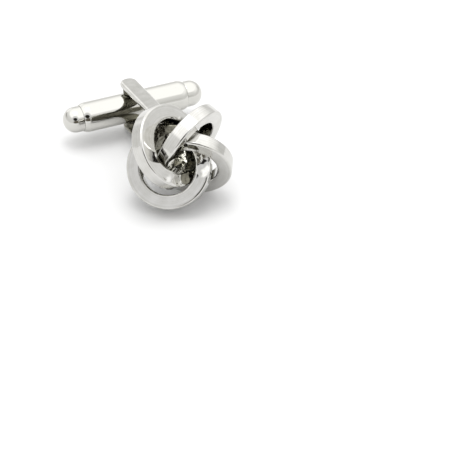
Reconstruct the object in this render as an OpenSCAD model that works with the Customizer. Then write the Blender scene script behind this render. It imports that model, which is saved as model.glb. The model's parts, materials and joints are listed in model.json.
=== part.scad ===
// Knot cufflink with a swivel bar closure, lying on a table on its knot and the end of its post.
// Each sub-part is drawn about the knot's centre with Z along the post, towards the knot's front,
// X along the closed toggle and Y along the pivot pin. lay_down() then sets it down on the table.

/* [Knot rings] */
// Outer diameter of each of the four flat rings
ring_d = 12; // [11.4:0.1:12.6]
// Width of a ring's flat annular face
ring_wall = 2.05; // [1.8:0.05:2.2]
// Height of a ring along its own axis
ring_h = 2.1; // [1.8:0.05:2.3]
// Chamfer that breaks a ring's four edges
ring_edge = 0.12; // [0.05:0.01:0.2]
// Tilt of a ring out of the plane of the knot, in degrees
ring_tilt = 41.5; // [38:0.5:45]
// Distance of a ring's centre from the knot's axis
ring_off = 2.25; // [2.0:0.05:2.5]
// Turn of the knot on its plate away from the plane of the post's arms, in degrees
knot_turn = 45; // [0:5:90]
// Clearance in the shallow seats filed where one ring crosses the next
seat_gap = 0.03; // [0.02:0.01:0.06]
// Depth that is ground flat on the backs of the rings, where they are soldered to the plate
back_flat = 0.38; // [0.25:0.01:0.5]

/* [Base plate] */
// Least width of the round plate outside the corners of the pocket for the post
plate_rim = 0.8; // [0.6:0.05:1.4]
// Thickness of the plate
plate_t = 1.2; // [1.1:0.1:1.6]
// Chamfer on the rim of the plate's back face
plate_edge = 0.15; // [0.1:0.01:0.2]

/* [Post] */
// Free length of the post, from the plate's back face to the pivot
post_len = 12.8; // [12.4:0.1:15]
// Width of the strip that the post is folded from
arm_w = 2.5; // [2.2:0.1:3]
// Thickness of the strip
arm_t = 0.85; // [0.75:0.05:1]
// Clear gap between the two arms
arm_gap = 5.8; // [5.4:0.1:6.4]
// Distance from the pivot to the centre of an arm's rounded end
arm_over = 0.65; // [0.3:0.05:1.2]
// Distance from an arm's side to the raised boss round the pin's hole, on the arm's inner face
boss_inset = 0.1; // [0.05:0.05:0.2]
// Clearance between the folded strip and the slots of the plate
slot_gap = 0.03; // [0.02:0.01:0.06]

/* [Pivot pin] */
// Diameter of the pivot pin
pin_d = 1.5; // [1.3:0.1:1.6]
// Depth of the blind holes that hold the ends of the pin
pin_seat = 0.55; // [0.4:0.05:0.6]
// Depth of each of the four flats at the middle of the pin
pin_flat = 0.18; // [0.12:0.01:0.2]
// Radial clearance of the toggle on the pin
run_gap = 0.04; // [0.02:0.01:0.08]
// Clearance between the barrel and the bosses of the arms
side_gap = 0.05; // [0.03:0.01:0.1]

/* [Toggle] */
// Length of the toggle over both end caps
toggle_l = 21; // [19:0.1:22]
// Diameter of the barrel
barrel_d = 4.35; // [4.1:0.05:4.5]
// Wall of the barrel round the bore that runs along it
barrel_wall = 0.65; // [0.55:0.05:0.8]
// Radius of the arc that draws in the barrel towards each of its ends
rim_round = 2; // [1.8:0.1:2.6]
// Length of the barrel that this arc draws in at each end
rim_l = 1; // [0.8:0.05:1.1]
// Length of an end cap outside the barrel
cap_l = 2.6; // [2.2:0.1:3]
// Step down in radius from the barrel to an end cap
cap_step = 0.3; // [0.2:0.05:0.4]
// Radius of the small flat at the tip of an end cap's round nose
cap_flat = 0.1; // [0.05:0.05:0.6]
// Length of the spigot that is pressed into the barrel
spigot_l = 1.6; // [1.2:0.1:2]

/* [Detent] */
// Clearance between a plunger's face and the round of the pin
nose_gap = 0.02; // [0.01:0.01:0.04]
// Radial clearance of a plunger in the barrel
plunger_gap = 0.04; // [0.02:0.01:0.08]
// Length of a plunger's head
plunger_l = 1.2; // [1:0.1:1.4]
// Clearance between the spring and the stem that centres it
stem_gap = 0.3; // [0.2:0.05:0.4]
// Length of the stem
stem_l = 1; // [0.8:0.1:1.4]
// Radial clearance of the spring in the barrel
spring_gap = 0.2; // [0.15:0.05:0.25]
// Diameter of the spring's wire
wire_d = 0.3; // [0.26:0.02:0.36]
// Turns in the spring
spring_turns = 5; // [4:1:5]

/* [Hidden] */
$fn = 96;

ring_count = 4;
ring_r = ring_d / 2;
ring_hole_r = ring_r - ring_wall;

// Back of the knot, and the places along the post measured back from the knot's centre
knot_back = ring_r * sin(ring_tilt) + ring_h / 2 * cos(ring_tilt) - back_flat;
plate_back = knot_back + plate_t;
pivot_back = plate_back + post_len;
arm_end_back = pivot_back + arm_over + arm_w / 2;
arm_in = arm_gap / 2;
arm_out = arm_in + arm_t;
pocket = [arm_w + 2 * slot_gap, 2 * (arm_out + slot_gap), arm_t];
plate_r = norm([pocket.x, pocket.y]) / 2 + plate_rim;

// Along the toggle, measured out from the pivot
barrel_r = barrel_d / 2;
bore_r = barrel_r - barrel_wall;
barrel_half = toggle_l / 2 - cap_l;
cap_r = barrel_r - cap_step;
cap_round = cap_r - cap_flat;
nose_x = pin_d / 2 + nose_gap;
shoulder_x = nose_x + plunger_l;
spigot_x = barrel_half - spigot_l;

// The spring's coil: points per turn, sides of the wire, and its free length between its two seats
coil_steps = 20;
wire_sides = 8;
coil_r = bore_r - spring_gap - wire_d / 2;
coil_l = spigot_x - shoulder_x - wire_d - 2 * nose_gap;
coil_pitch = coil_l / spring_turns;
echo(least_gap_between_coils = coil_pitch - wire_d);

// How far the knot reaches from its centre along the direction v, with its edges chamfered
function ring_turn(i) = 90 + knot_turn - 360 / ring_count * i;
function disc_reach(k) = max((ring_r - ring_edge) * sqrt(1 - k * k) + ring_h / 2 * abs(k),
                             ring_r * sqrt(1 - k * k) + (ring_h / 2 - ring_edge) * abs(k));
function ring_reach(a, v) =
    ring_off * (cos(a) * v.x + sin(a) * v.y)
    + disc_reach(sin(ring_tilt) * (sin(a) * v.x - cos(a) * v.y) + cos(ring_tilt) * v.z);
function knot_reach(v) = max([for (i = [0 : ring_count - 1]) ring_reach(ring_turn(i), v)]);

// The lean at which the knot's lowest ring and the end of the lower arm both touch the table
function rest_lean(lean = 0, passes = 20) =
    passes == 0 ? lean
    : rest_lean(asin((knot_reach([0, -cos(lean), -sin(lean)]) - arm_out * cos(lean)) / arm_end_back),
                passes - 1);
lean = rest_lean();
rest_height = knot_reach([0, -cos(lean), -sin(lean)]);
front_reach = knot_reach([0, -sin(lean), cos(lean)]);
back_reach = arm_out * sin(lean) + arm_end_back * cos(lean);
echo(lean_in_degrees = lean, knot_centre = [0, (front_reach - back_reach) / 2, rest_height]);

// Moves a piece from the post's frame to the table, with the origin under the middle of the cufflink
module lay_down() {
    translate([0, (front_reach - back_reach) / 2, rest_height])
        rotate([90 - lean, 0, 0])
            children();
}

// Puts a copy of a piece that lies along X on the left or the right side of the toggle
module on_side(left) {
    translate([0, 0, -pivot_back])
        rotate([0, 0, left ? 180 : 0])
            children();
}

// A flat ring with chamfered edges, grown all round by grow
module washer(grow) {
    outer = ring_r + grow;
    inner = ring_hole_r - grow;
    top = ring_h / 2 + grow;
    rotate_extrude($fn = 192)
        polygon([
            [inner + ring_edge, -top], [outer - ring_edge, -top], [outer, -top + ring_edge],
            [outer, top - ring_edge], [outer - ring_edge, top], [inner + ring_edge, top],
            [inner, top - ring_edge], [inner, -top + ring_edge]
        ]);
}

module ring_in_place(i, grow = 0) {
    rotate([0, 0, ring_turn(i)])
        translate([ring_off, 0, 0])
            rotate([ring_tilt, 0, 0])
                washer(grow);
}

// One ring of the knot. The next ring's seats are filed into it, and its back is ground flat
module knot_ring(i) {
    color("gainsboro")
        difference() {
            ring_in_place(i);
            ring_in_place(i + 1, seat_gap);
            translate([-ring_d, -ring_d, -knot_back - ring_d])
                cube([2 * ring_d, 2 * ring_d, ring_d]);
        }
}

// Round plate with a pocket for the fold of the post and two slots for its arms
module base_plate() {
    slot_l = arm_t + 2 * slot_gap;
    color("lightgray")
        difference() {
            translate([0, 0, -plate_back])
                rotate_extrude()
                    polygon([
                        [0, 0], [plate_r - plate_edge, 0], [plate_r, plate_edge],
                        [plate_r, plate_t], [0, plate_t]
                    ]);
            translate([-pocket.x / 2, -pocket.y / 2, -knot_back - arm_t])
                cube([pocket.x, pocket.y, 2 * arm_t]);
            for (side = [-1, 1])
                translate([-pocket.x / 2, side * (arm_in + arm_t / 2) - slot_l / 2, -knot_back - 2 * plate_t])
                    cube([pocket.x, slot_l, 2 * plate_t]);
        }
}

// The post: one strip folded into a U, its arms round at the end, with a boss round each pin hole
module post_fork() {
    fold_z = -knot_back - arm_t;
    boss_h = arm_in - barrel_r - side_gap;
    color("silver")
        difference() {
            union() {
                translate([-arm_w / 2, -arm_in, fold_z])
                    cube([arm_w, arm_gap, arm_t]);
                for (side = [-1, 1])
                    mirror([0, side < 0 ? 1 : 0, 0]) {
                        intersection() {
                            translate([-arm_w / 2, arm_in, fold_z])
                                rotate([0, 90, 0])
                                    cylinder(h = arm_w, r = arm_t);
                            translate([-arm_w / 2, arm_in, fold_z])
                                cube([arm_w, arm_t, arm_t]);
                        }
                        translate([-arm_w / 2, arm_in, -pivot_back - arm_over])
                            cube([arm_w, arm_t, pivot_back + arm_over + fold_z]);
                        translate([0, arm_out, -pivot_back - arm_over])
                            rotate([90, 0, 0])
                                cylinder(h = arm_t, d = arm_w);
                        translate([0, arm_in + arm_t / 2, -pivot_back])
                            rotate([90, 0, 0])
                                cylinder(h = boss_h + arm_t / 2, r = arm_w / 2 - boss_inset);
                    }
            }
            translate([0, arm_in + pin_seat, -pivot_back])
                rotate([90, 0, 0])
                    cylinder(h = arm_gap + 2 * pin_seat, d = pin_d);
        }
}

// Round pin whose middle has four flats, on which the plungers click
module pivot_pin() {
    flat_w = pin_d - 2 * pin_flat;
    color("darkgray")
        translate([0, 0, -pivot_back])
            intersection() {
                translate([0, arm_in + pin_seat, 0])
                    rotate([90, 0, 0])
                        cylinder(h = arm_gap + 2 * pin_seat, d = pin_d);
                union() {
                    cube([flat_w, arm_gap + 2 * pin_d, flat_w], center = true);
                    for (side = [-1, 1])
                        translate([-pin_d, side * (bore_r + pin_d) - pin_d, -pin_d])
                            cube(2 * pin_d);
                }
            }
}

// Round tube, drawn in at both ends, with a cross hole for the pin
module toggle_barrel() {
    color("silver")
        translate([0, 0, -pivot_back])
            difference() {
                rotate([0, 90, 0])
                    rotate_extrude()
                        intersection() {
                            translate([bore_r, -barrel_half])
                                square([barrel_r, 2 * barrel_half]);
                            union() {
                                translate([0, rim_l - barrel_half])
                                    square([barrel_r, 2 * (barrel_half - rim_l)]);
                                for (side = [-1, 1])
                                    translate([barrel_r - rim_round, side * (barrel_half - rim_l)])
                                        circle(r = rim_round);
                            }
                        }
                rotate([90, 0, 0])
                    cylinder(h = 2 * barrel_d, r = pin_d / 2 + run_gap, center = true);
            }
}

// Turned plug: a rounded nose outside the barrel and a spigot inside it
module end_cap(left) {
    color("gainsboro")
        on_side(left)
            rotate([0, 90, 0])
                rotate_extrude()
                    union() {
                        translate([0, spigot_x])
                            square([bore_r, spigot_l + cap_l / 2]);
                        translate([0, barrel_half])
                            square([cap_r, cap_l - cap_round]);
                        translate([0, barrel_half])
                            square([cap_flat, cap_l]);
                        intersection() {
                            translate([cap_flat, toggle_l / 2 - cap_round])
                                circle(r = cap_round);
                            translate([0, toggle_l / 2 - cap_round])
                                square(barrel_d);
                        }
                    }
}

// Plunger that a spring presses against a flat of the pin
module detent_plunger(left) {
    color("goldenrod")
        on_side(left)
            rotate([0, 90, 0])
                union() {
                    translate([0, 0, nose_x])
                        cylinder(h = plunger_l, r = bore_r - plunger_gap);
                    translate([0, 0, shoulder_x - plunger_l / 2])
                        cylinder(h = plunger_l / 2 + stem_l, r = coil_r - wire_d / 2 - stem_gap);
                }
}

// Points of the wire's rim at one step of the coil, and the faces that join all the rims
function coil_rim(step) =
    let (turn = 360 * step / coil_steps,
         x = shoulder_x + wire_d / 2 + nose_gap + coil_pitch * step / coil_steps)
    [for (k = [0 : wire_sides - 1])
        let (a = 360 * k / wire_sides, r = coil_r + wire_d / 2 * cos(a))
        [x + wire_d / 2 * sin(a), r * cos(turn), r * sin(turn)]];

// Spring of round wire, wound as one helix
module detent_spring(left) {
    last = coil_steps * spring_turns;
    rims = [for (step = [0 : last]) each coil_rim(step)];
    sides = [for (step = [0 : last - 1], k = [0 : wire_sides - 1])
        let (a = step * wire_sides + k, b = step * wire_sides + (k + 1) % wire_sides)
        each [[a, b, a + wire_sides], [b, b + wire_sides, a + wire_sides]]];
    first_end = [for (k = [1 : wire_sides - 2]) [0, k + 1, k]];
    last_end = [for (k = [1 : wire_sides - 2]) [last, last, last] * wire_sides + [0, k, k + 1]];
    color("dimgray")
        on_side(left)
            polyhedron(points = rims, faces = concat(sides, first_end, last_end));
}

lay_down() knot_ring(0);  // knot_ring_upper_left
lay_down() knot_ring(1);  // knot_ring_upper_right
lay_down() knot_ring(2);  // knot_ring_lower_right
lay_down() knot_ring(3);  // knot_ring_lower_left
lay_down() base_plate();
lay_down() post_fork();
lay_down() pivot_pin();
lay_down() toggle_barrel();
lay_down() end_cap(true);  // end_cap_left
lay_down() end_cap(false);  // end_cap_right
lay_down() detent_plunger(true);  // detent_plunger_left
lay_down() detent_plunger(false);  // detent_plunger_right
lay_down() detent_spring(true);  // detent_spring_left
lay_down() detent_spring(false);  // detent_spring_right
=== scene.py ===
import math
import json
import bmesh
import bpy
from mathutils import Matrix, Vector


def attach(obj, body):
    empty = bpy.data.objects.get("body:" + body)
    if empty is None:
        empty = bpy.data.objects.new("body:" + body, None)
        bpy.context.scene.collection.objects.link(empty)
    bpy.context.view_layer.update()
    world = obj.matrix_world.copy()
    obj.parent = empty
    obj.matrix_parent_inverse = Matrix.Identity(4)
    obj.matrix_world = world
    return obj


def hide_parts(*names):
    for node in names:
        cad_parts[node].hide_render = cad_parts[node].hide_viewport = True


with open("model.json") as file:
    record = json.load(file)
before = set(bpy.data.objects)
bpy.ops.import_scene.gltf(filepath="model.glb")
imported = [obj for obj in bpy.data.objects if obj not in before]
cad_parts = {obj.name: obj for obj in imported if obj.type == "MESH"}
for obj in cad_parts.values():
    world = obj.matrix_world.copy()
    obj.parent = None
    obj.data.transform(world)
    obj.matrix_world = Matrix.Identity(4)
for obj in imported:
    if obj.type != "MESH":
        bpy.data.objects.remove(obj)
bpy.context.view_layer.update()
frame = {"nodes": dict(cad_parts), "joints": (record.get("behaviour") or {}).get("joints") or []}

# Camera
# The photograph is taken from about a metre away with a long lens, from above and a little to the
# left of the knot's front. Its place was found by matching the edges of rings, arm and toggle.
MM = 0.001
photo_width = 452
focal_pixels = 6843.2
sensor_width = 36.0
camera_azimuth = math.radians(-22.035)
camera_elevation = math.radians(36.123)
camera_distance = 960 * MM
camera_target = Vector((3.412, -16.728, 0.362)) * MM

def towards(azimuth, elevation):
    return Vector((
        math.sin(azimuth) * math.cos(elevation),
        -math.cos(azimuth) * math.cos(elevation),
        math.sin(elevation),
    ))

bpy.ops.object.camera_add()
camera = bpy.context.object
camera.data.sensor_width = sensor_width
camera.data.lens = focal_pixels / photo_width * sensor_width
camera.data.clip_end = 10
lens_side = towards(camera_azimuth, camera_elevation)
camera.location = camera_target + lens_side * camera_distance
camera.rotation_euler = lens_side.to_track_quat("Z", "Y").to_euler()
bpy.context.scene.camera = camera
bpy.context.scene.view_settings.view_transform = "Standard"

# Light tent
# A white fabric tent lit from outside, brightest in its roof. Its back has a bright seam and a thin
# grey band, one stretch of its right wall is unlit, and at the front a flap hangs round the lens,
# open on the room below it.
def to_linear(code):
    channels = [int(code[place : place + 2], 16) / 255 for place in (1, 3, 5)]
    return [c / 12.92 if c <= 0.04045 else ((c + 0.055) / 1.055) ** 2.4 for c in channels] + [1.0]

def add_node(tree, kind, settings=(), inputs=()):
    node = tree.nodes.new(kind)
    for name, value in dict(settings).items():
        setattr(node, name, value)
    for name, value in dict(inputs).items():
        if isinstance(value, bpy.types.NodeSocket):
            tree.links.new(value, node.inputs[name])
        else:
            node.inputs[name].default_value = value
    return node

def new_tree(holder):
    holder.use_nodes = True
    holder.node_tree.nodes.clear()
    return holder.node_tree

wall_white = to_linear("#FAFAF9")
lamp_white = to_linear("#FFFFFF")
flap_white = to_linear("#FAFAFB")
unlit_white = to_linear("#EDEDEC")
band_grey = to_linear("#8C8A83")
room_dark = to_linear("#6F6A60")
lens_black = to_linear("#2A2825")
lit_wall_strength = 1.5
roof_strength = 1.65
seam_light = [lit_wall_strength * channel for channel in lamp_white[:3]] + [1.0]
lit_side = towards(math.radians(130), 0)
least_lit = 0.15
least_lit_at = -0.45
fully_lit_at = 0.5
wall_foot = math.sin(math.radians(12))
wall_top = math.sin(math.radians(38))
roof_foot = math.sin(math.radians(37))
roof_top = math.sin(math.radians(47))
tent_patches = (
    # where it hangs, how far it reaches across, in depth and in height, its light, and its soft edge
    (towards(math.radians(-142), math.radians(13)), (0.45, 0.45, 0.05), band_grey, 0.5),
    (towards(math.radians(102), math.radians(8)), (0.16, 0.16, 0.36), unlit_white, 0.15),
    (towards(math.radians(-171), math.radians(15)), (0.28, 0.28, 0.19), seam_light, 0.25),
    (lens_side, (0.52, 0.52, 0.52), flap_white, 0.16),
    (towards(math.radians(-12), math.radians(10)), (0.45, 0.45, 0.25), room_dark, 0.25),
    (lens_side, (0.33, 0.33, 0.2), lens_black, 0.12),
)

world = bpy.data.worlds.new("light_tent")
bpy.context.scene.world = world
tree = new_tree(world)
direction = add_node(tree, "ShaderNodeTexCoord").outputs["Generated"]
height = add_node(tree, "ShaderNodeSeparateXYZ", inputs={"Vector": direction}).outputs["Z"]
side = add_node(tree, "ShaderNodeVectorMath", {"operation": "DOT_PRODUCT"}, {0: direction, 1: lit_side})
lit = add_node(tree, "ShaderNodeMapRange", {"interpolation_type": "SMOOTHSTEP"},
               {"Value": side.outputs["Value"], "From Min": least_lit_at, "From Max": fully_lit_at,
                "To Min": least_lit})
up = add_node(tree, "ShaderNodeMapRange", {"interpolation_type": "SMOOTHSTEP"},
              {"Value": height, "From Min": wall_foot, "From Max": wall_top, "To Max": lit.outputs["Result"]})
wall_light = add_node(tree, "ShaderNodeVectorMath", {"operation": "SCALE"},
                      {0: lamp_white[:3], "Scale": lit_wall_strength})
walls = add_node(tree, "ShaderNodeMix", {"data_type": "RGBA"},
                 {0: up.outputs["Result"], 6: wall_white, 7: wall_light.outputs[0]})
roof = add_node(tree, "ShaderNodeMapRange", {"interpolation_type": "SMOOTHSTEP"},
                {"Value": height, "From Min": roof_foot, "From Max": roof_top})
roof_light = add_node(tree, "ShaderNodeVectorMath", {"operation": "SCALE"},
                      {0: lamp_white[:3], "Scale": roof_strength})
fabric = add_node(tree, "ShaderNodeMix", {"data_type": "RGBA"},
                  {0: roof.outputs["Result"], 6: walls.outputs[2], 7: roof_light.outputs[0]})
front = fabric.outputs[2]
for middle, size, tone, edge in tent_patches:
    away = add_node(tree, "ShaderNodeVectorMath", {"operation": "SUBTRACT"}, {0: direction, 1: middle})
    scaled = add_node(tree, "ShaderNodeVectorMath", {"operation": "DIVIDE"}, {0: away.outputs[0], 1: size})
    reach = add_node(tree, "ShaderNodeVectorMath", {"operation": "LENGTH"}, {0: scaled.outputs[0]})
    patch = add_node(tree, "ShaderNodeMapRange", {"interpolation_type": "SMOOTHSTEP"},
                     {"Value": reach.outputs["Value"], "From Min": 1 + edge, "From Max": 1 - edge})
    front = add_node(tree, "ShaderNodeMix", {"data_type": "RGBA"},
                     {0: patch.outputs["Result"], 6: front, 7: tone}).outputs[2]
rays = add_node(tree, "ShaderNodeLightPath")
tent_light = add_node(tree, "ShaderNodeBackground", inputs={"Color": front, "Strength": 1.0})
paper = add_node(tree, "ShaderNodeBackground", inputs={"Color": (1, 1, 1, 1), "Strength": 1.0})
shown = add_node(tree, "ShaderNodeMixShader", inputs={"Fac": rays.outputs["Is Camera Ray"]})
tree.links.new(tent_light.outputs[0], shown.inputs[1])
tree.links.new(paper.outputs[0], shown.inputs[2])
add_node(tree, "ShaderNodeOutputWorld", inputs={"Surface": shown.outputs[0]})

# Table
# A matt white board under the cufflink. It shows white to the lens and in the metal, and keeps the
# soft shadows that the knot and the toggle cast on it.
table_size = 1.2
board_white = to_linear("#DEDEDE")
board_lift = 0.05
lamp_place = (0, 0.05, 0.6)
lamp_size = 0.3
lamp_power = 1

def only(*pieces):
    bpy.ops.object.select_all(action="DESELECT")
    for piece in pieces:
        piece.select_set(True)
        bpy.context.view_layer.objects.active = piece

only()
bpy.ops.mesh.primitive_plane_add(size=table_size)
table = bpy.context.object
table.name = "table"
material = bpy.data.materials.new("matt_white_board")
tree = new_tree(material)
rays = add_node(tree, "ShaderNodeLightPath")
lens = add_node(tree, "ShaderNodeMath", {"operation": "MAXIMUM"},
                {0: rays.outputs["Is Camera Ray"], 1: rays.outputs["Is Glossy Ray"]})
seen = add_node(tree, "ShaderNodeMath", {"operation": "MAXIMUM"},
                {0: lens.outputs[0], 1: rays.outputs["Is Transmission Ray"]})
board = add_node(tree, "ShaderNodeBsdfDiffuse", inputs={"Color": board_white})
lift = add_node(tree, "ShaderNodeMath", {"operation": "MULTIPLY"}, {0: seen.outputs[0], 1: board_lift})
glow = add_node(tree, "ShaderNodeEmission", inputs={"Color": (1, 1, 1, 1), "Strength": lift.outputs[0]})
both = add_node(tree, "ShaderNodeAddShader")
tree.links.new(board.outputs[0], both.inputs[0])
tree.links.new(glow.outputs[0], both.inputs[1])
add_node(tree, "ShaderNodeOutputMaterial", inputs={"Surface": both.outputs[0]})
table.data.materials.append(material)

only()
bpy.ops.object.light_add(type="AREA", location=lamp_place)
lamp = bpy.context.object
lamp.name = "roof_lamp"
lamp.data.size = lamp_size
lamp.data.energy = lamp_power

# Knot rings
# Four flat brass rings, turned, lapped and mopped bright, then linked into an open knot, soldered
# where they cross and plated. Each has shallow seats filed in it for the next ring of the knot, and
# the upper left one is bored off its centre, so its wall is wider on the outside.
swivel = next(joint for joint in frame["joints"] if joint["name"] == "toggle_swivel")
pin_axis = Vector(swivel["axis"])
pivot = Vector(swivel["pos_m"])
pivot_back = 18.3818 * MM
lean = math.atan2(pin_axis.y, pin_axis.z)
post_turn = Matrix.Rotation(math.radians(90) - lean, 4, "X")
knot_centre = pivot + post_turn @ Vector((0, 0, pivot_back))
lay_down = Matrix.Translation(knot_centre) @ post_turn

ring_radius = 6 * MM
ring_wall = 2.05 * MM
ring_height = 2.1 * MM
ring_tilt = math.radians(41.5)
ring_offset = 2.25 * MM
knot_turn = math.radians(135)
knot_back = 4.3819 * MM
seat_gap = 0.03 * MM
mopped_edge = 0.28 * MM
edge_steps = 6
face_cuts = 9
ring_steps = 192
sharp_angle = 32
weld = 0.001 * MM
facing = 0.9
parallel = 0.99
corner_angle = 1

def pick(kind, chosen):
    bpy.ops.mesh.select_mode(type={"verts": "VERT", "edges": "EDGE", "faces": "FACE"}[kind])
    bpy.ops.mesh.select_all(action="DESELECT")
    mesh = bmesh.from_edit_mesh(bpy.context.edit_object.data)
    for item in getattr(mesh, kind):
        item.select_set(bool(chosen(item)))
    mesh.select_flush_mode()
    bmesh.update_edit_mesh(bpy.context.edit_object.data)

def place(piece, matrix):
    only(piece)
    piece.matrix_world = matrix @ piece.matrix_world
    bpy.ops.object.transform_apply(location=True, rotation=True, scale=True)

def cut(piece, tool, operation="DIFFERENCE"):
    only(piece)
    modifier = piece.modifiers.new("cut", "BOOLEAN")
    modifier.operation = operation
    modifier.object = tool
    modifier.solver = "EXACT"
    bpy.ops.object.modifier_apply(modifier=modifier.name)

def finish_surface(piece):
    place(piece, Matrix.Scale(1 / MM, 4))
    bpy.ops.object.mode_set(mode="EDIT")
    bpy.ops.mesh.select_all(action="SELECT")
    bpy.ops.mesh.dissolve_degenerate(threshold=weld / MM)
    bpy.ops.object.mode_set(mode="OBJECT")
    bpy.ops.object.shade_smooth_by_angle(angle=math.radians(sharp_angle))
    modifier = piece.modifiers.new("flats", "WEIGHTED_NORMAL")
    modifier.keep_sharp = True
    bpy.ops.object.modifier_apply(modifier=modifier.name)
    place(piece, Matrix.Scale(MM, 4))

def keep_lathe_place(piece, place_in_knot):
    lathe = place_in_knot.inverted()
    places = piece.data.attributes.new("on_lathe", "FLOAT_VECTOR", "POINT")
    for vert, place_there in zip(piece.data.vertices, places.data):
        place_there.vector = lathe @ vert.co / MM

def turned_ring(name, grow):
    only()
    bpy.ops.mesh.primitive_plane_add(size=1, location=(ring_radius - ring_wall / 2, 0, 0),
                                     rotation=(math.radians(90), 0, 0))
    ring = bpy.context.object
    ring.name = name
    ring.scale = (ring_wall + 2 * grow, ring_height + 2 * grow, 1)
    bpy.ops.object.transform_apply(location=True, rotation=True, scale=True)
    bpy.ops.object.mode_set(mode="EDIT")
    bpy.ops.mesh.select_all(action="SELECT")
    bpy.ops.mesh.bevel(offset=mopped_edge, affect="VERTICES", segments=edge_steps, profile=0.5)
    bpy.ops.mesh.select_all(action="SELECT")
    bpy.ops.mesh.delete(type="ONLY_FACE")
    pick("edges", lambda edge: min(vert.co.z for vert in edge.verts) > ring_height / 2 + grow - weld)
    bpy.ops.mesh.subdivide(number_cuts=face_cuts)
    bpy.ops.mesh.select_all(action="SELECT")
    bpy.ops.mesh.spin(steps=ring_steps, angle=math.radians(360), center=(0, 0, 0), axis=(0, 0, 1))
    bpy.ops.mesh.select_all(action="SELECT")
    bpy.ops.mesh.remove_doubles(threshold=weld)
    bpy.ops.mesh.normals_make_consistent(inside=False)
    bpy.ops.object.mode_set(mode="OBJECT")
    return ring

def push(ring, chosen, move, reach):
    only(ring)
    bpy.ops.object.mode_set(mode="EDIT")
    pick("verts", chosen)
    bpy.ops.transform.translate(value=move, use_proportional_edit=True, proportional_edit_falloff="SMOOTH",
                                proportional_size=reach)
    bpy.ops.object.mode_set(mode="OBJECT")

def dent(ring, middle, depth, reach):
    near = min(ring.data.vertices, key=lambda vert: (vert.co - middle).length).co.copy()
    push(ring, lambda vert: (vert.co - near).length < weld, Vector((0, 0, -depth)), reach)

def ring_place(number):
    turn = Matrix.Rotation(knot_turn - math.radians(90) * number, 4, "Z")
    return lay_down @ turn @ Matrix.Translation((ring_offset, 0, 0)) @ Matrix.Rotation(ring_tilt, 4, "X")

# Rhodium over brass: a cool light grey that mirrors sharply, with slow waves and faint swirls from the mop
# over finer rings from the lathe. Inside the knot and on one spot of each face no mop reached, so it is dull
# there. There its colour is painted: pale near the knot's axis as painted light, and dark further out and on
# that spot as painted shade. Where the solder ran out it is bright again.
fresh_grey = to_linear("#D3D2CF")
worn_grey = to_linear("#C4C3BE")
# painted light: the unmopped zone is dull for real, but its pale colour lifts the dark inside of the knot
dull_pale_painted_light = to_linear("#DAD9D0")
# painted shade: the dark colour of the unmopped inside of the knot, away from its axis and on one spot of
# each face
painted_shade_dark = to_linear("#6C6A5F")
hollow_middle = lay_down @ Vector((0, 0, -2 * MM))
hollow_scale = (MM, MM, 1.18 * MM)
cloud_size = 1.6 * MM
wave_size = 3.2 * MM
lump_size = 1.1 * MM
swirl_width = 0.25 * MM
swirl_length = 2.5 * MM
swirl_turn = (0.4, 0.9, 0.2)
marks_per_mm = 6.0
haze_least = 0.03
haze_most = 0.075
noise_low = 0.35
noise_high = 0.7
missed_end = 5.35
missed_full = 4.75
# painted shade: how far from the knot's axis, in mm, the inside of the knot starts and ends darkening
painted_shade_from = 2.5
painted_shade_full = 3.3
bore_end = 4.1
bore_full = 3.97
bore_far = 5.2
bore_near = 4.4
solder_end = 2.1
solder_full = 1.5
# painted shade: the reach of the dark spot on each face, in mm
black_end = 1.9
black_full = 1.6
worn_from = 0.75
worn_full = 1.25
dull_roughness = 0.12
dull_lumps = 10.0
wave_depth = 0.05
mark_depth = 0.0012
swirl_depth = 0.002
lump_depth = 0.03

material = bpy.data.materials.new("mopped_rhodium_plating")
tree = new_tree(material)
own = add_node(tree, "ShaderNodeTexCoord").outputs["Object"]
lathe = add_node(tree, "ShaderNodeAttribute", {"attribute_name": "on_lathe"}).outputs["Vector"]
from_inside = add_node(tree, "ShaderNodeMapping", {"vector_type": "TEXTURE"},
                       {"Vector": own, "Location": hollow_middle, "Rotation": lay_down.to_euler(),
                        "Scale": hollow_scale}).outputs["Vector"]
inside = add_node(tree, "ShaderNodeVectorMath", {"operation": "LENGTH"}, {0: from_inside}).outputs["Value"]
cloud = add_node(tree, "ShaderNodeTexNoise", {}, {"Vector": own, "Scale": 1 / cloud_size, "Detail": 3.0})
ragged = add_node(tree, "ShaderNodeMath", {"operation": "ADD"}, {0: inside, 1: cloud.outputs["Fac"]})
joint = add_node(tree, "ShaderNodeAttribute", {"attribute_name": "solder_place"}).outputs["Vector"]
from_joint = add_node(tree, "ShaderNodeVectorMath", {"operation": "DISTANCE"}, {0: lathe, 1: joint})
run = add_node(tree, "ShaderNodeMapRange", {"interpolation_type": "SMOOTHSTEP"},
               {"Value": from_joint.outputs["Value"], "From Min": solder_end, "From Max": solder_full})
bright = add_node(tree, "ShaderNodeMath", {"operation": "SUBTRACT"}, {0: 1.0, 1: run.outputs["Result"]})
missed = add_node(tree, "ShaderNodeMapRange", {"interpolation_type": "SMOOTHSTEP"},
                  {"Value": ragged.outputs[0], "From Min": missed_end, "From Max": missed_full,
                   "To Max": bright.outputs[0]}).outputs["Result"]
from_axis = add_node(tree, "ShaderNodeVectorMath", {"operation": "MULTIPLY"}, {0: from_inside, 1: (1, 1, 0)})
off_axis = add_node(tree, "ShaderNodeVectorMath", {"operation": "LENGTH"}, {0: from_axis.outputs[0]})
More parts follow.
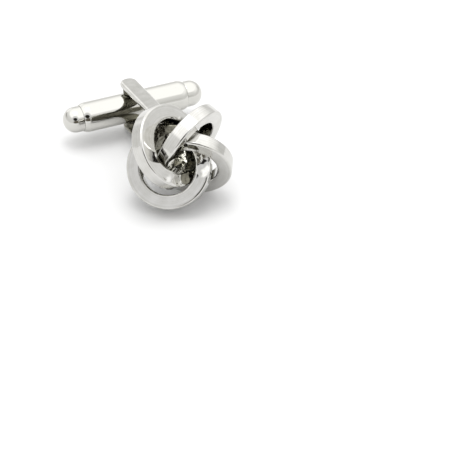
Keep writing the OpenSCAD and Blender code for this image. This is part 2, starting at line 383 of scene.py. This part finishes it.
# Painted shade: inside the knot, the unmopped colour darkens away from the knot's axis.
painted_shade = add_node(tree, "ShaderNodeMapRange", {"interpolation_type": "SMOOTHSTEP"},
                   {"Value": off_axis.outputs["Value"], "From Min": painted_shade_from,
                    "From Max": painted_shade_full}).outputs["Result"]
around = add_node(tree, "ShaderNodeVectorMath", {"operation": "MULTIPLY"}, {0: lathe, 1: (1, 1, 0)})
radius = add_node(tree, "ShaderNodeVectorMath", {"operation": "LENGTH"},
                  {0: around.outputs[0]}).outputs["Value"]
near_axis = add_node(tree, "ShaderNodeMapRange", {"interpolation_type": "SMOOTHSTEP"},
                     {"Value": off_axis.outputs["Value"], "From Min": bore_far, "From Max": bore_near})
bore = add_node(tree, "ShaderNodeMapRange", {},
                {"Value": radius, "From Min": bore_end, "From Max": bore_full,
                 "To Max": near_axis.outputs["Result"]})
# Painted shade: one dark spot on each face, with a ragged edge.
painted_shade_at = add_node(tree, "ShaderNodeAttribute",
                        {"attribute_name": "blackened_place"}).outputs["Vector"]
from_black = add_node(tree, "ShaderNodeVectorMath", {"operation": "DISTANCE"}, {0: lathe, 1: painted_shade_at})
black_edge = add_node(tree, "ShaderNodeMath", {"operation": "ADD"},
                      {0: from_black.outputs["Value"], 1: cloud.outputs["Fac"]})
black = add_node(tree, "ShaderNodeMapRange", {"interpolation_type": "SMOOTHSTEP"},
                 {"Value": black_edge.outputs[0], "From Min": black_end,
                  "From Max": black_full}).outputs["Result"]
unmopped = add_node(tree, "ShaderNodeMath", {"operation": "MAXIMUM"}, {0: missed, 1: bore.outputs["Result"]})
dull = add_node(tree, "ShaderNodeMath", {"operation": "MAXIMUM"},
                {0: unmopped.outputs[0], 1: black}).outputs[0]
# Painted shade: the dark inside of the knot and the dark spot together.
dark = add_node(tree, "ShaderNodeMath", {"operation": "MAXIMUM"}, {0: painted_shade, 1: black}).outputs[0]
# Unmopped colour: pale near the knot's axis as painted light, dark further out and on the spot as painted
# shade.
dull_colour = add_node(tree, "ShaderNodeMix", {"data_type": "RGBA"}, {0: dark, 6: dull_pale_painted_light, 7: painted_shade_dark})
along = add_node(tree, "ShaderNodeSeparateXYZ", inputs={"Vector": lathe}).outputs["Z"]
feed = add_node(tree, "ShaderNodeCombineXYZ", inputs={"X": radius, "Y": along})
marks = add_node(tree, "ShaderNodeTexNoise", {},
                 {"Vector": feed.outputs[0], "Scale": marks_per_mm, "Detail": 2.0})
patchy = add_node(tree, "ShaderNodeMath", {"operation": "ADD"},
                  {0: marks.outputs["Fac"], 1: cloud.outputs["Fac"]})
worn = add_node(tree, "ShaderNodeMapRange", {},
                {"Value": patchy.outputs[0], "From Min": worn_from, "From Max": worn_full}).outputs["Result"]
polish_colour = add_node(tree, "ShaderNodeMix", {"data_type": "RGBA"}, {0: worn, 6: fresh_grey, 7: worn_grey})
colour = add_node(tree, "ShaderNodeMix", {"data_type": "RGBA"},
                  {0: dull, 6: polish_colour.outputs[2], 7: dull_colour.outputs[2]})
haze = add_node(tree, "ShaderNodeMapRange", {},
                {"Value": cloud.outputs["Fac"], "From Min": noise_low, "From Max": noise_high,
                 "To Min": haze_least, "To Max": haze_most})
roughness = add_node(tree, "ShaderNodeMath", {"operation": "MULTIPLY_ADD"},
                     {0: dull, 1: dull_roughness, 2: haze.outputs["Result"]})
waves = add_node(tree, "ShaderNodeTexNoise", {}, {"Vector": own, "Scale": 1 / wave_size, "Detail": 1.0})
swirl_way = add_node(tree, "ShaderNodeMapping", {},
                     {"Vector": own, "Rotation": swirl_turn,
                      "Scale": (1 / swirl_width, 1 / swirl_length, 1 / swirl_width)})
swirls = add_node(tree, "ShaderNodeTexNoise", {},
                  {"Vector": swirl_way.outputs[0], "Scale": 1.0, "Detail": 2.0})
wave_height = add_node(tree, "ShaderNodeMath", {"operation": "MULTIPLY"},
                       {0: waves.outputs["Fac"], 1: wave_depth})
mark_height = add_node(tree, "ShaderNodeMath", {"operation": "MULTIPLY_ADD"},
                       {0: marks.outputs["Fac"], 1: mark_depth, 2: wave_height.outputs[0]})
polished = add_node(tree, "ShaderNodeMath", {"operation": "MULTIPLY_ADD"},
                    {0: swirls.outputs["Fac"], 1: swirl_depth, 2: mark_height.outputs[0]})
lumpy = add_node(tree, "ShaderNodeMath", {"operation": "MULTIPLY_ADD"},
                 {0: dull, 1: dull_lumps, 2: run.outputs["Result"]})
lumps = add_node(tree, "ShaderNodeTexNoise", {}, {"Vector": own, "Scale": 1 / lump_size, "Detail": 1.0})
lump_height = add_node(tree, "ShaderNodeMath", {"operation": "MULTIPLY"},
                       {0: lumps.outputs["Fac"], 1: lumpy.outputs[0]})
surface = add_node(tree, "ShaderNodeMath", {"operation": "MULTIPLY_ADD"},
                   {0: lump_height.outputs[0], 1: lump_depth, 2: polished.outputs[0]})
bump = add_node(tree, "ShaderNodeBump",
                inputs={"Height": surface.outputs[0], "Strength": 1.0, "Distance": MM})
shader = add_node(tree, "ShaderNodeBsdfPrincipled",
                  inputs={"Base Color": colour.outputs[2], "Metallic": 1.0, "Roughness": roughness.outputs[0],
                          "Normal": bump.outputs[0]})
add_node(tree, "ShaderNodeOutputMaterial", inputs={"Surface": shader.outputs[0]})
ring_metal = material

ring_nodes = (
    # its node, where the solder ran out on its face, where a dark spot of painted shade sits on its face, how
    # far its hole is off centre, and one more dent with its depth and reach, in mm, with places from the
    # ring's centre
    ("knot_ring_upper_left", (-1.5, 4.9, 1.0), (-4.1, 3.2, 0.9), (-0.6, -0.2),
     ((-0.1, 5.2, 1.05), 0.13, 1.1)),
    ("knot_ring_upper_right", (-2.2, 4.7, 1.0), (-5.1, -0.2, 0.9), (0, 0), None),
    ("knot_ring_lower_right", (-4.4, 3.3, 1.0), (-5.1, -0.2, 0.9), (0, 0),
     ((-3.0, 3.6, 1.05), 0.1, 1.1)),
    ("knot_ring_lower_left", (-2.4, 4.7, 1.0), (-5.1, -0.2, 0.9), (0, 0), None),
)
solder_dents = (
    # from the solder's place: across the face in two ways, depth and reach, in mm
    (-1.5, -0.7, 0.45, 2.4),
    (0.3, 0.4, -0.02, 0.8),
    (-0.4, -0.5, 0.02, 0.7),
    (0.8, -0.3, 0.015, 0.7),
    (-0.9, 0.4, -0.025, 0.8),
    (0.1, -0.1, 0.015, 0.6),
    (-1.2, -0.6, -0.02, 0.7),
)
for number, (node, solder_place, blackened_place, off_centre, own_dent) in enumerate(ring_nodes):
    ring = turned_ring("polished_" + node[5:], 0)
    dents = [(Vector(solder_place) + Vector((x, y, 0)), depth, reach) for x, y, depth, reach in solder_dents]
    if own_dent:
        dents.append(own_dent)
    for middle, depth, reach in dents:
        dent(ring, Vector(middle) * MM, depth * MM, reach * MM)
    push(ring, lambda vert: vert.co.xy.length < ring_radius - ring_wall + weld,
         Vector((*off_centre, 0)) * MM, ring_wall)
    place(ring, ring_place(number))
    seat = turned_ring("seat_tool", seat_gap)
    place(seat, ring_place(number + 1))
    cut(ring, seat)
    bpy.data.objects.remove(seat)
    only(ring)
    bpy.ops.object.mode_set(mode="EDIT")
    bpy.ops.mesh.select_all(action="SELECT")
    bpy.ops.mesh.bisect(plane_co=lay_down @ Vector((0, 0, -knot_back)),
                        plane_no=post_turn @ Vector((0, 0, 1)),
                        use_fill=True, clear_inner=True, threshold=weld)
    bpy.ops.object.mode_set(mode="OBJECT")
    finish_surface(ring)
    keep_lathe_place(ring, ring_place(number))
    for name, spot in (("solder_place", solder_place), ("blackened_place", blackened_place)):
        for there in ring.data.attributes.new(name, "FLOAT_VECTOR", "POINT").data:
            there.vector = spot
    ring.data.materials.append(ring_metal)
    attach(ring, "knot_and_post")
    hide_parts(node)

# Base plate
# A turned round disc behind the knot, with the rings soldered to its front and the fold of the post
# let into a pocket. The two slots through it hold the arms.
arm_width = 2.5 * MM
arm_thickness = 0.85 * MM
arm_gap = 5.8 * MM
slot_gap = 0.03 * MM
arm_inner = arm_gap / 2
arm_outer = arm_inner + arm_thickness
slot_inner = arm_inner - slot_gap
slot_width = arm_thickness + 2 * slot_gap
pocket_width = arm_width + 2 * slot_gap
pocket_length = 2 * (arm_outer + slot_gap)
plate_rim = 0.8 * MM
plate_thickness = 1.2 * MM
plate_radius = math.hypot(pocket_width, pocket_length) / 2 + plate_rim
plate_edge = 0.15 * MM
plate_steps = 160
plate_edge_steps = 4

# The same plating left as it came off the lathe: satin, with rings from the turning. Its warm dark colour is
# painted shade for the shaded back of the knot.
# Over its front, between the rings, the solder has run out into a paler and lumpier skin.
# painted shade: the plate's warm dark colours, mottled between these two
painted_shade_satin_dark = to_linear("#555349")
painted_shade_satin_light = to_linear("#89877B")
solder_skin = to_linear("#B6B4A9")
stain_size = 1.2 * MM
turned_marks_per_mm = 5.0
marks_low = 0.3
marks_high = 0.7
turned_smoothest = 0.25
turned_roughest = 0.4
turned_depth = 0.008
skin_depth = 0.15
front_from = -knot_back / MM - 0.1
front_full = -knot_back / MM - 0.02

material = bpy.data.materials.new("turned_dull_plating")
tree = new_tree(material)
own = add_node(tree, "ShaderNodeTexCoord").outputs["Object"]
lathe = add_node(tree, "ShaderNodeAttribute", {"attribute_name": "on_lathe"}).outputs["Vector"]
around = add_node(tree, "ShaderNodeVectorMath", {"operation": "MULTIPLY"}, {0: lathe, 1: (1, 1, 0)})
radius = add_node(tree, "ShaderNodeVectorMath", {"operation": "LENGTH"},
                  {0: around.outputs[0]}).outputs["Value"]
along = add_node(tree, "ShaderNodeSeparateXYZ", inputs={"Vector": lathe}).outputs["Z"]
feed = add_node(tree, "ShaderNodeCombineXYZ", inputs={"X": radius, "Y": along})
marks = add_node(tree, "ShaderNodeTexNoise", {},
                 {"Vector": feed.outputs[0], "Scale": turned_marks_per_mm, "Detail": 3.0})
stain = add_node(tree, "ShaderNodeTexNoise", {}, {"Vector": own, "Scale": 1 / stain_size, "Detail": 4.0})
# Painted shade: a dark mottled colour all over the plate.
colour = add_node(tree, "ShaderNodeMix", {"data_type": "RGBA"},
                  {0: stain.outputs["Fac"], 6: painted_shade_satin_dark, 7: painted_shade_satin_light})
roughness = add_node(tree, "ShaderNodeMapRange", {},
                     {"Value": marks.outputs["Fac"], "From Min": marks_low, "From Max": marks_high,
                      "To Min": turned_smoothest, "To Max": turned_roughest})
on_front = add_node(tree, "ShaderNodeMapRange", {},
                    {"Value": along, "From Min": front_from, "From Max": front_full})
skin = add_node(tree, "ShaderNodeMix", {"data_type": "RGBA"},
                {0: on_front.outputs["Result"], 6: colour.outputs[2], 7: solder_skin})
mark_height = add_node(tree, "ShaderNodeMath", {"operation": "MULTIPLY"},
                       {0: marks.outputs["Fac"], 1: turned_depth})
lumps = add_node(tree, "ShaderNodeMath", {"operation": "MULTIPLY"},
                 {0: stain.outputs["Fac"], 1: on_front.outputs["Result"]})
surface = add_node(tree, "ShaderNodeMath", {"operation": "MULTIPLY_ADD"},
                   {0: lumps.outputs[0], 1: skin_depth, 2: mark_height.outputs[0]})
bump = add_node(tree, "ShaderNodeBump",
                inputs={"Height": surface.outputs[0], "Strength": 1.0, "Distance": MM})
shader = add_node(tree, "ShaderNodeBsdfPrincipled",
                  inputs={"Base Color": skin.outputs[2], "Metallic": 1.0,
                          "Roughness": roughness.outputs["Result"], "Normal": bump.outputs[0]})
add_node(tree, "ShaderNodeOutputMaterial", inputs={"Surface": shader.outputs[0]})
plate_metal = material

def box_tool(size, middle):
    only()
    bpy.ops.mesh.primitive_cube_add(size=1, location=middle)
    tool = bpy.context.object
    tool.scale = size
    bpy.ops.object.transform_apply(location=True, rotation=True, scale=True)
    return tool

def cut_and_drop(piece, tool, operation="DIFFERENCE"):
    cut(piece, tool, operation)
    bpy.data.objects.remove(tool)

only()
bpy.ops.mesh.primitive_cylinder_add(vertices=plate_steps, radius=plate_radius, depth=plate_thickness,
                                    location=(0, 0, -knot_back - plate_thickness / 2))
plate = bpy.context.object
plate.name = "turned_plate"
bpy.ops.object.transform_apply(location=True, rotation=True, scale=True)
bpy.ops.object.mode_set(mode="EDIT")
pick("edges", lambda edge: len(edge.link_faces) == 2 and abs(edge.calc_face_angle(0)) > corner_angle)
bpy.ops.mesh.bevel(offset=plate_edge, affect="EDGES", segments=plate_edge_steps, profile=0.5)
bpy.ops.object.mode_set(mode="OBJECT")
pocket_and_slots = box_tool((pocket_width, 2 * slot_inner, 2 * arm_thickness), (0, 0, -knot_back))
bpy.ops.object.mode_set(mode="EDIT")
for side in (-1, 1):
    pick("faces", lambda face: face.normal.y * side > facing)
    bpy.ops.mesh.extrude_region_move(TRANSFORM_OT_translate={"value": (0, side * slot_width, 0)})
pick("faces", lambda face: face.normal.z < -facing and abs(face.calc_center_median().y) > slot_inner)
bpy.ops.mesh.extrude_region_move(TRANSFORM_OT_translate={"value": (0, 0, -plate_thickness)})
bpy.ops.object.mode_set(mode="OBJECT")
cut_and_drop(plate, pocket_and_slots)
place(plate, lay_down)
finish_surface(plate)
keep_lathe_place(plate, lay_down)
plate.data.materials.clear()
plate.data.materials.append(plate_metal)
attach(plate, "knot_and_post")
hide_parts("base_plate")

# Post
# One brass strip folded into a U, its ends cut round and its edges mopped soft. A boss round each
# pin hole keeps the toggle in the middle, and the holes are blind, so the arms are smooth outside.
fold_back = knot_back + arm_thickness
arm_over = 0.65 * MM
arm_end = pivot_back + arm_over + arm_width / 2
boss_inset = 0.1 * MM
side_gap = 0.05 * MM
pin_radius = 0.75 * MM
pin_seat = 0.55 * MM
barrel_radius = 2.175 * MM
boss_height = arm_inner - barrel_radius - side_gap
arm_outer_edge = 0.42 * MM
arm_inner_edge = 0.3 * MM
fold_steps = 16
arm_end_steps = 32
arm_edge_steps = 8
boss_steps = 96
boss_edge_steps = 4

# Rhodium over rolled brass strip: mirror bright outside, with faint rolling lines along the strip and a haze
# where cuffs rub it, but dull between the arms, where no mop reaches, and painted warm and dark there as
# painted shade.
strip_fresh = to_linear("#D0CFCB")
strip_worn = to_linear("#C2C1BC")
# painted shade: the warm dark colour of the arms' inner sides, between the arms
strip_painted_shade = to_linear("#6B695D")
line_width = 0.15 * MM
line_length = 4 * MM
rub_size = 1.4 * MM
strip_wave_size = 2.6 * MM
rub_least = 0.04
rub_most = 0.14
strip_worn_full = 0.65
strip_dull_roughness = 0.2
strip_wave_depth = 0.03
line_depth = 0.0015
# where the arms' inner sides turn dull and darken as painted shade
dull_shade_from = (arm_inner + 0.35 * MM) / line_length
dull_shade_full = (arm_inner + 0.1 * MM) / line_length

material = bpy.data.materials.new("rolled_strip_plating")
tree = new_tree(material)
own = add_node(tree, "ShaderNodeTexCoord").outputs["Object"]
strip = add_node(tree, "ShaderNodeMapping", {"vector_type": "TEXTURE"},
                 {"Vector": own, "Location": knot_centre, "Rotation": lay_down.to_euler(),
                  "Scale": (line_width, line_length, line_length)})
lines = add_node(tree, "ShaderNodeTexNoise", {}, {"Vector": strip.outputs[0], "Scale": 1.0, "Detail": 2.0})
cloud = add_node(tree, "ShaderNodeTexNoise", {}, {"Vector": own, "Scale": 1 / rub_size, "Detail": 4.0})
haze = add_node(tree, "ShaderNodeMapRange", {},
                {"Value": cloud.outputs["Fac"], "From Min": noise_low, "From Max": noise_high,
                 "To Min": rub_least, "To Max": rub_most})
across = add_node(tree, "ShaderNodeSeparateXYZ", inputs={"Vector": strip.outputs[0]}).outputs["Y"]
from_middle = add_node(tree, "ShaderNodeMath", {"operation": "ABSOLUTE"}, {0: across})
dull = add_node(tree, "ShaderNodeMapRange", {"interpolation_type": "SMOOTHSTEP"},
                {"Value": from_middle.outputs[0], "From Min": dull_shade_from,
                 "From Max": dull_shade_full}).outputs["Result"]
worn = add_node(tree, "ShaderNodeMapRange", {},
                {"Value": cloud.outputs["Fac"], "From Min": noise_low, "From Max": strip_worn_full})
polish_colour = add_node(tree, "ShaderNodeMix", {"data_type": "RGBA"},
                         {0: worn.outputs["Result"], 6: strip_fresh, 7: strip_worn})
# Painted shade: the strip darkens between the arms.
colour = add_node(tree, "ShaderNodeMix", {"data_type": "RGBA"},
                  {0: dull, 6: polish_colour.outputs[2], 7: strip_painted_shade})
roughness = add_node(tree, "ShaderNodeMath", {"operation": "MULTIPLY_ADD"},
                     {0: dull, 1: strip_dull_roughness, 2: haze.outputs["Result"]})
waves = add_node(tree, "ShaderNodeTexNoise", {}, {"Vector": own, "Scale": 1 / strip_wave_size, "Detail": 1.0})
wave_height = add_node(tree, "ShaderNodeMath", {"operation": "MULTIPLY"},
                       {0: waves.outputs["Fac"], 1: strip_wave_depth})
surface = add_node(tree, "ShaderNodeMath", {"operation": "MULTIPLY_ADD"},
                   {0: lines.outputs["Fac"], 1: line_depth, 2: wave_height.outputs[0]})
bump = add_node(tree, "ShaderNodeBump",
                inputs={"Height": surface.outputs[0], "Strength": 1.0, "Distance": MM})
shader = add_node(tree, "ShaderNodeBsdfPrincipled",
                  inputs={"Base Color": colour.outputs[2], "Metallic": 1.0, "Roughness": roughness.outputs[0],
                          "Normal": bump.outputs[0]})
add_node(tree, "ShaderNodeOutputMaterial", inputs={"Surface": shader.outputs[0]})
post_metal = material

post = box_tool((arm_width, arm_gap, arm_thickness), (0, 0, -fold_back + arm_thickness / 2))
post.name = "folded_post"
bpy.ops.object.mode_set(mode="EDIT")
for side in (-1, 1):
    pick("faces", lambda face: face.normal.y * side > facing)
    bpy.ops.mesh.extrude_region_move(TRANSFORM_OT_translate={"value": (0, side * arm_thickness, 0)})
pick("faces", lambda face: face.normal.z < -facing and abs(face.calc_center_median().y) > arm_inner)
bpy.ops.mesh.extrude_region_move(TRANSFORM_OT_translate={"value": (0, 0, fold_back - arm_end)})

def runs_along(edge, axis):
    way = edge.verts[1].co - edge.verts[0].co
    return abs(way[axis]) > parallel * way.length

def middle_of(edge):
    return (edge.verts[0].co + edge.verts[1].co) / 2

pick("edges", lambda edge: runs_along(edge, 0) and abs(middle_of(edge).y) > arm_outer - weld
     and middle_of(edge).z > -knot_back - weld)
bpy.ops.mesh.bevel(offset=arm_thickness - weld, affect="EDGES", segments=fold_steps, profile=0.5)
pick("edges", lambda edge: runs_along(edge, 1) and middle_of(edge).z < -arm_end + weld)
bpy.ops.mesh.bevel(offset=arm_width / 2 - weld, affect="EDGES", segments=arm_end_steps, profile=0.5)
for outside, rounding in ((True, arm_outer_edge), (False, arm_inner_edge)):
    pick("edges", lambda edge: edge.calc_face_angle(0) > math.radians(80) and edge.is_convex
         and outside == (abs(middle_of(edge).y) > arm_inner + weld or middle_of(edge).z > weld - fold_back))
    bpy.ops.mesh.bevel(offset=rounding, affect="EDGES", segments=arm_edge_steps, profile=0.5)
bpy.ops.object.mode_set(mode="OBJECT")

for side in (-1, 1):
    only()
    bpy.ops.mesh.primitive_cylinder_add(
        vertices=boss_steps, radius=arm_width / 2 - boss_inset, depth=boss_height + arm_thickness / 2,
        location=(0, side * (arm_inner - boss_height / 2 + arm_thickness / 4), -pivot_back),
        rotation=(math.radians(90), 0, 0))
    boss = bpy.context.object
    bpy.ops.object.transform_apply(location=True, rotation=True, scale=True)
    bpy.ops.object.mode_set(mode="EDIT")
    pick("edges", lambda edge: edge.calc_face_angle(0) > corner_angle and abs(middle_of(edge).y) < arm_inner)
    bpy.ops.mesh.bevel(offset=boss_inset, affect="EDGES", segments=boss_edge_steps, profile=0.5)
    bpy.ops.object.mode_set(mode="OBJECT")
    cut_and_drop(post, boss, "UNION")
only()
bpy.ops.mesh.primitive_cylinder_add(vertices=boss_steps, radius=pin_radius, depth=arm_gap + 2 * pin_seat,
                                    location=(0, 0, -pivot_back), rotation=(math.radians(90), 0, 0))
cut_and_drop(post, bpy.context.object)
place(post, lay_down)
finish_surface(post)
post.data.materials.clear()
post.data.materials.append(post_metal)
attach(post, "knot_and_post")
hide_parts("post_fork")

# Toggle
# A turned brass tube, drawn in at both ends over two round-nosed plugs. It swings end over end on
# the pin between the arms, and inside it two sprung plungers press on the pin's flats.
barrel_wall = 0.65 * MM
bore_radius = barrel_radius - barrel_wall
toggle_length = 21 * MM
cap_length = 2.6 * MM
barrel_half = toggle_length / 2 - cap_length
rim_round = 2 * MM
rim_length = 1 * MM
run_gap = 0.04 * MM
toggle_steps = 160
barrel_cuts = 40
rim_steps = 8
pin_hole_steps = 64
at_pivot = lay_down @ Matrix.Translation((0, 0, -pivot_back))
along_x = Matrix.Rotation(math.radians(90), 4, "Y")

# Rhodium over turned brass: the brightest mirror of the piece. Faint tool lines run round the bar,
# and along it lie the long shallow waves of a tube drawn over a mandrel.
tube_grey = to_linear("#CDCCC7")
tool_lines_per_mm = (0.2, 0.2, 6)
tube_waves_per_mm = (0.45, 0.45, 0.12)
tube_cloud_size = 1.5 * MM
tube_smoothest = 0.025
tube_roughest = 0.07
tube_wave_depth = 0.02
tool_line_depth = 0.0005

material = bpy.data.materials.new("polished_tube_plating")
tree = new_tree(material)
own = add_node(tree, "ShaderNodeTexCoord").outputs["Object"]
lathe = add_node(tree, "ShaderNodeAttribute", {"attribute_name": "on_lathe"}).outputs["Vector"]
tool_way = add_node(tree, "ShaderNodeVectorMath", {"operation": "MULTIPLY"}, {0: lathe, 1: tool_lines_per_mm})
lines = add_node(tree, "ShaderNodeTexNoise", {}, {"Vector": tool_way.outputs[0], "Scale": 1.0, "Detail": 2.0})
wave_way = add_node(tree, "ShaderNodeVectorMath", {"operation": "MULTIPLY"}, {0: lathe, 1: tube_waves_per_mm})
waves = add_node(tree, "ShaderNodeTexNoise", {}, {"Vector": wave_way.outputs[0], "Scale": 1.0, "Detail": 1.0})
cloud = add_node(tree, "ShaderNodeTexNoise", {}, {"Vector": own, "Scale": 1 / tube_cloud_size, "Detail": 3.0})
haze = add_node(tree, "ShaderNodeMapRange", {},
                {"Value": cloud.outputs["Fac"], "From Min": noise_low, "From Max": noise_high,
                 "To Min": tube_smoothest, "To Max": tube_roughest})
wave_height = add_node(tree, "ShaderNodeMath", {"operation": "MULTIPLY"},
                       {0: waves.outputs["Fac"], 1: tube_wave_depth})
surface = add_node(tree, "ShaderNodeMath", {"operation": "MULTIPLY_ADD"},
                   {0: lines.outputs["Fac"], 1: tool_line_depth, 2: wave_height.outputs[0]})
bump = add_node(tree, "ShaderNodeBump",
                inputs={"Height": surface.outputs[0], "Strength": 1.0, "Distance": MM})
shader = add_node(tree, "ShaderNodeBsdfPrincipled",
                  inputs={"Base Color": tube_grey, "Metallic": 1.0, "Roughness": haze.outputs["Result"],
                          "Normal": bump.outputs[0]})
add_node(tree, "ShaderNodeOutputMaterial", inputs={"Surface": shader.outputs[0]})
toggle_metal = material

only()
bpy.ops.mesh.primitive_cylinder_add(vertices=toggle_steps, radius=barrel_radius,
                                    depth=2 * (barrel_half - rim_length), end_fill_type="NOTHING")
barrel = bpy.context.object
barrel.name = "turned_barrel"
bpy.ops.object.mode_set(mode="EDIT")
pick("edges", lambda edge: runs_along(edge, 2))
bpy.ops.mesh.subdivide(number_cuts=barrel_cuts)
rim_sweep = math.asin(rim_length / rim_round)
for side in (-1, 1):
    pick("verts", lambda vert: vert.co.z * side > barrel_half - rim_length - weld)
    for step in range(1, rim_steps + 1):
        before = rim_sweep * (step - 1) / rim_steps
        after = rim_sweep * step / rim_steps
        rise = rim_round * (math.sin(after) - math.sin(before))
        shrink = (barrel_radius - rim_round * (1 - math.cos(after))) / (
            barrel_radius - rim_round * (1 - math.cos(before)))
        bpy.ops.mesh.extrude_region_move(TRANSFORM_OT_translate={"value": (0, 0, side * rise)})
        bpy.ops.transform.resize(value=(shrink, shrink, 1))
    mouth = bore_radius / (barrel_radius - rim_round * (1 - math.cos(rim_sweep)))
    bpy.ops.mesh.extrude_region_move()
    bpy.ops.transform.resize(value=(mouth, mouth, 1))
pick("edges", lambda edge: edge.is_boundary)
bpy.ops.mesh.bridge_edge_loops()
bpy.ops.mesh.select_all(action="SELECT")
bpy.ops.mesh.remove_doubles(threshold=weld)
bpy.ops.mesh.normals_make_consistent(inside=False)
bpy.ops.object.mode_set(mode="OBJECT")
place(barrel, Matrix.Translation((0, 0, -pivot_back)) @ along_x)
only()
bpy.ops.mesh.primitive_cylinder_add(vertices=pin_hole_steps, radius=pin_radius + run_gap,
                                    depth=4 * barrel_radius,
                                    location=(0, 0, -pivot_back), rotation=(math.radians(90), 0, 0))
cut_and_drop(barrel, bpy.context.object)
place(barrel, lay_down)
finish_surface(barrel)
keep_lathe_place(barrel, at_pivot @ along_x)
barrel.data.materials.clear()
barrel.data.materials.append(toggle_metal)
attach(barrel, "toggle")
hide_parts("toggle_barrel")

cap_step = 0.3 * MM
cap_flat = 0.1 * MM
spigot_length = 1.6 * MM
press_gap = 0.005 * MM
cap_radius = barrel_radius - cap_step
cap_break = 0.06 * MM
nose_steps = 32
cap_break_steps = 3

only()
bpy.ops.mesh.primitive_cylinder_add(vertices=toggle_steps, radius=cap_radius, depth=cap_length,
                                    location=(0, 0, barrel_half + cap_length / 2))
cap = bpy.context.object
bpy.ops.object.transform_apply(location=True, rotation=True, scale=True)
bpy.ops.object.mode_set(mode="EDIT")
pick("edges", lambda edge: edge.calc_face_angle(0) > corner_angle and middle_of(edge).z > barrel_half + weld)
bpy.ops.mesh.bevel(offset=cap_radius - cap_flat, affect="EDGES", segments=nose_steps, profile=0.5)
pick("faces", lambda face: face.normal.z < -facing)
bpy.ops.mesh.inset(thickness=cap_radius - bore_radius + press_gap)
bpy.ops.mesh.extrude_region_move(TRANSFORM_OT_translate={"value": (0, 0, -spigot_length)})
pick("edges", lambda edge: edge.calc_face_angle(0) > corner_angle and edge.is_convex)
bpy.ops.mesh.bevel(offset=cap_break, affect="EDGES", segments=cap_break_steps, profile=0.5)
bpy.ops.object.mode_set(mode="OBJECT")
finish_surface(cap)
only(cap)
bpy.ops.object.duplicate()
other_cap = bpy.context.object
cap.name = "round_nosed_plug_right"
other_cap.name = "round_nosed_plug_left"
place(cap, at_pivot @ along_x)
place(other_cap, at_pivot @ Matrix.Rotation(math.radians(180), 4, "Z") @ along_x)
for piece, node in ((cap, "end_cap_right"), (other_cap, "end_cap_left")):
    keep_lathe_place(piece, at_pivot @ along_x)
    piece.data.materials.clear()
    piece.data.materials.append(toggle_metal)
    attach(piece, "toggle")
    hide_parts(node)

# Pin, plungers and springs
# A ground steel pin with four flats, pressed into the arms. Two brass plungers bear on its flats
# inside the tube, each pushed by a coil of spring wire that rests on the plug behind it.
small_parts = (
    # metal, its colour and darker colour, size of its stains in mm, smoothest, roughest, and its nodes
    ("ground_pin_steel", "#B4B2AE", "#96938D", 0.5, 0.18, 0.32,
     ("pivot_pin",)),
    ("turned_plunger_brass", "#CDAE6B", "#A68547", 0.4, 0.2, 0.36,
     ("detent_plunger_left", "detent_plunger_right")),
    ("drawn_spring_steel", "#8F8F91", "#66625E", 0.3, 0.25, 0.4,
     ("detent_spring_left", "detent_spring_right")),
)
grind_size = (1.5 * MM, 1.5 * MM, 0.08 * MM)
grind_depth = 0.002 * MM
small_sharp_angle = 30
for name, bright, dark, stain_size, smoothest, roughest, nodes in small_parts:
    material = bpy.data.materials.new(name)
    tree = new_tree(material)
    own = add_node(tree, "ShaderNodeTexCoord").outputs["Object"]
    stain = add_node(tree, "ShaderNodeTexNoise", {},
                     {"Vector": own, "Scale": 1 / (stain_size * MM), "Detail": 4.0})
    colour = add_node(tree, "ShaderNodeMix", {"data_type": "RGBA"},
                      {0: stain.outputs["Fac"], 6: to_linear(dark), 7: to_linear(bright)})
    roughness = add_node(tree, "ShaderNodeMapRange", {},
                         {"Value": stain.outputs["Fac"], "To Min": roughest, "To Max": smoothest})
    grind_way = add_node(tree, "ShaderNodeMapping", {"vector_type": "TEXTURE"},
                         {"Vector": own, "Location": pivot, "Rotation": (-lean, 0, 0),
                          "Scale": grind_size})
    lines = add_node(tree, "ShaderNodeTexNoise", {},
                     {"Vector": grind_way.outputs[0], "Scale": 1.0, "Detail": 2.0})
    bump = add_node(tree, "ShaderNodeBump",
                    inputs={"Height": lines.outputs["Fac"], "Strength": 1.0, "Distance": grind_depth})
    shader = add_node(tree, "ShaderNodeBsdfPrincipled",
                      inputs={"Base Color": colour.outputs[2], "Metallic": 1.0,
                              "Roughness": roughness.outputs["Result"], "Normal": bump.outputs[0]})
    add_node(tree, "ShaderNodeOutputMaterial", inputs={"Surface": shader.outputs[0]})
    for node_name in nodes:
        node = frame["nodes"][node_name]
        node.data.materials.clear()
        node.data.materials.append(material)
        only(node)
        bpy.ops.object.shade_smooth_by_angle(angle=math.radians(small_sharp_angle))
